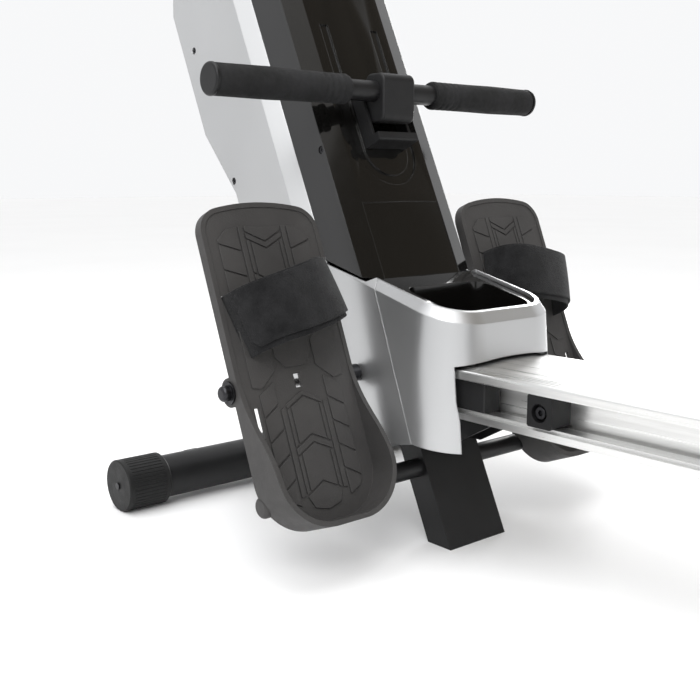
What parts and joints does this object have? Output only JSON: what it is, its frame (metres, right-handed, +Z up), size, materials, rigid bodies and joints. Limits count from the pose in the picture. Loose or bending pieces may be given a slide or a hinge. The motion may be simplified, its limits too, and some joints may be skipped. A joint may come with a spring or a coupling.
{
  "type": "rowing machine",
  "caption": "Magnetic rowing machine with a leaning flywheel tower, sliding seat on a flat rail, swivelling foot plates with straps, pull handle and console.",
  "frame": {"origin": "on the floor, under the middle of the machine's length and width", "axes": "+Z up, +Y from the seat to the tower, +X to the rower's right when facing the tower"},
  "size_m": [0.516, 1.7686, 0.8505],
  "materials": {
    "frame_black": "satin powder coat",
    "rail_aluminium": "bright anodised",
    "silver_plastic": "satin metallic paint",
    "gloss_black": "polished",
    "black_plastic": "fine textured",
    "pedal_plastic": "fine textured",
    "strap_fabric": "woven",
    "steel": "turned",
    "black_steel": "black oxide",
    "flywheel_iron": "turned and painted",
    "roller_rubber": "smooth",
    "grip_foam": "foam",
    "seat_vinyl": "grained",
    "screen_glass": "clear",
    "belt_rubber": "ribbed",
    "pulley_plastic": "moulded",
    "button_grey": "soft",
    "magnet_grey": "ground"
  },
  "bodies": {
    "frame": {"axle_fittings": "black_steel", "base_rear_cover": "silver_plastic", "belt": "belt_rubber", "console_bracket": "black_plastic", "cross_tube_plugs": "pedal_plastic", "drive_axles": "steel", "drive_bolts": "steel", "drive_plates": "frame_black", "frame_bolts": "black_steel", "front_cover": "gloss_black", "front_stabiliser_tube": "frame_black", "front_strut": "frame_black", "handle_cradle": "black_plastic", "main_post": "frame_black", "pedal_axle": "steel", "post_foot_cap": "black_plastic", "rail": "rail_aluminium", "rail_end_cap": "black_plastic", "rail_root_blocks": "black_plastic", "rail_stop_blocks": "black_plastic", "rear_leg": "frame_black", "rear_stabiliser_tube": "frame_black", "recoil_spring_case": "pulley_plastic", "side_cover_left": "silver_plastic", "side_cover_right": "silver_plastic", "small_screws": "black_steel", "stabiliser_end_caps": "black_plastic", "tower_top_cap": "black_plastic", "tray_liner": "gloss_black"},
    "seat": {"seat_carriage": "frame_black", "seat_axles": "steel", "seat_base": "black_plastic", "seat_pad": "seat_vinyl"},
    "front_rollers": {"seat_rollers_front": "roller_rubber"},
    "rear_rollers": {"seat_rollers_rear": "roller_rubber"},
    "handle": {"handle_bar": "frame_black", "handle_grips": "grip_foam", "handle_hub": "black_plastic", "pull_strap": "strap_fabric"},
    "strap_drum": {"strap_drum": "pulley_plastic", "strap_coil": "strap_fabric"},
    "guide_roller": {"guide_roller": "roller_rubber"},
    "flywheel": {"flywheel": "flywheel_iron", "flywheel_pulley": "pulley_plastic"},
    "drive_pulley": {"drive_pulley": "pulley_plastic"},
    "idler": {"idler": "steel"},
    "brake_arm": {"brake_arm": "frame_black", "brake_magnets": "magnet_grey"},
    "tension_knob": {"tension_knob": "black_plastic"},
    "pedal_left": {"pedal_left": "pedal_plastic", "foot_strap_left": "strap_fabric"},
    "pedal_right": {"pedal_right": "pedal_plastic", "foot_strap_right": "strap_fabric"},
    "console": {"console_shell": "black_plastic", "console_screen": "screen_glass"},
    "console_button_1": {"console_button_1": "button_grey"},
    "console_button_2": {"console_button_2": "button_grey"},
    "console_button_3": {"console_button_3": "button_grey"},
    "transport_wheel_left": {"transport_wheel_left": "roller_rubber"},
    "transport_wheel_right": {"transport_wheel_right": "roller_rubber"}
  },
  "joints": [
    {"name": "seat_slide", "type": "slide", "parent": "frame", "child": "seat", "axis": [0, 1, 0], "range_m": [-0.43, 0.518]},
    {"name": "front_rollers_spin", "type": "hinge", "parent": "seat", "child": "front_rollers", "pos_m": [0, -0.22931, 0.1728], "axis": [1, 0, 0], "continuous": true},
    {"name": "rear_rollers_spin", "type": "hinge", "parent": "seat", "child": "rear_rollers", "pos_m": [0, -0.34931, 0.1728], "axis": [1, 0, 0], "continuous": true},
    {"name": "handle_pull", "type": "slide", "parent": "frame", "child": "handle", "axis": [0, -1, 0], "range_m": [0, 1.1], "stiffness_N_per_m": 12, "springref_m": -0.8, "deforming": ["pull_strap"]},
    {"name": "drum_spin", "type": "hinge", "parent": "frame", "child": "strap_drum", "pos_m": [0, 0.67414, 0.37492], "axis": [1, 0, 0], "continuous": true},
    {"name": "guide_spin", "type": "hinge", "parent": "frame", "child": "guide_roller", "pos_m": [0, 0.64669, 0.4598], "axis": [1, 0, 0], "continuous": true},
    {"name": "flywheel_spin", "type": "hinge", "parent": "frame", "child": "flywheel", "pos_m": [0, 0.75927, 0.53383], "axis": [1, 0, 0], "continuous": true},
    {"name": "pulley_spin", "type": "hinge", "parent": "frame", "child": "drive_pulley", "pos_m": [0, 0.67414, 0.37492], "axis": [1, 0, 0], "continuous": true},
    {"name": "idler_spin", "type": "hinge", "parent": "frame", "child": "idler", "pos_m": [0, 0.67168, 0.49272], "axis": [1, 0, 0], "continuous": true},
    {"name": "tension_turn", "type": "hinge", "parent": "frame", "child": "tension_knob", "pos_m": [0, 0.69792, 0.65071], "axis": [0, 0.9063, -0.4226], "range_deg": [0, 270]},
    {"name": "brake_swing", "type": "hinge", "parent": "frame", "child": "brake_arm", "pos_m": [0, 0.70648, 0.6092], "axis": [1, 0, 0], "range_deg": [0, 6]},
    {"name": "pedal_left_tilt", "type": "hinge", "parent": "frame", "child": "pedal_left", "pos_m": [-0.178, 0.53569, 0.18], "axis": [1, 0, 0], "range_deg": [-25, 0]},
    {"name": "pedal_right_tilt", "type": "hinge", "parent": "frame", "child": "pedal_right", "pos_m": [0.178, 0.53569, 0.18], "axis": [1, 0, 0], "range_deg": [-25, 0]},
    {"name": "console_tilt", "type": "hinge", "parent": "frame", "child": "console", "pos_m": [0, 0.79794, 0.72323], "axis": [1, 0, 0], "range_deg": [-20, 15]},
    {"name": "button_1_press", "type": "slide", "parent": "console", "child": "console_button_1", "axis": [0, 0.9063, -0.4226], "range_m": [0, 0.0015], "stiffness_N_per_m": 400},
    {"name": "button_2_press", "type": "slide", "parent": "console", "child": "console_button_2", "axis": [0, 0.9063, -0.4226], "range_m": [0, 0.0015], "stiffness_N_per_m": 400},
    {"name": "button_3_press", "type": "slide", "parent": "console", "child": "console_button_3", "axis": [0, 0.9063, -0.4226], "range_m": [0, 0.0015], "stiffness_N_per_m": 400},
    {"name": "transport_wheel_left_spin", "type": "hinge", "parent": "frame", "child": "transport_wheel_left", "pos_m": [-0.12, 0.82169, 0.022], "axis": [1, 0, 0], "continuous": true},
    {"name": "transport_wheel_right_spin", "type": "hinge", "parent": "frame", "child": "transport_wheel_right", "pos_m": [0.12, 0.82169, 0.022], "axis": [1, 0, 0], "continuous": true}
  ],
  "couplings": [
    {"joint": "front_rollers_spin", "follows": "seat_slide", "rad_per_m": -71.429},
    {"joint": "rear_rollers_spin", "follows": "seat_slide", "rad_per_m": -71.429},
    {"joint": "drum_spin", "follows": "handle_pull", "rad_per_m": 22.727},
    {"joint": "guide_spin", "follows": "handle_pull", "rad_per_m": 111.11},
    {"joint": "pulley_spin", "follows": "flywheel_spin", "ratio": 0.30769},
    {"joint": "idler_spin", "follows": "flywheel_spin", "ratio": -1.5385},
    {"joint": "brake_swing", "follows": "tension_turn", "ratio": 0.022222}
  ]
}
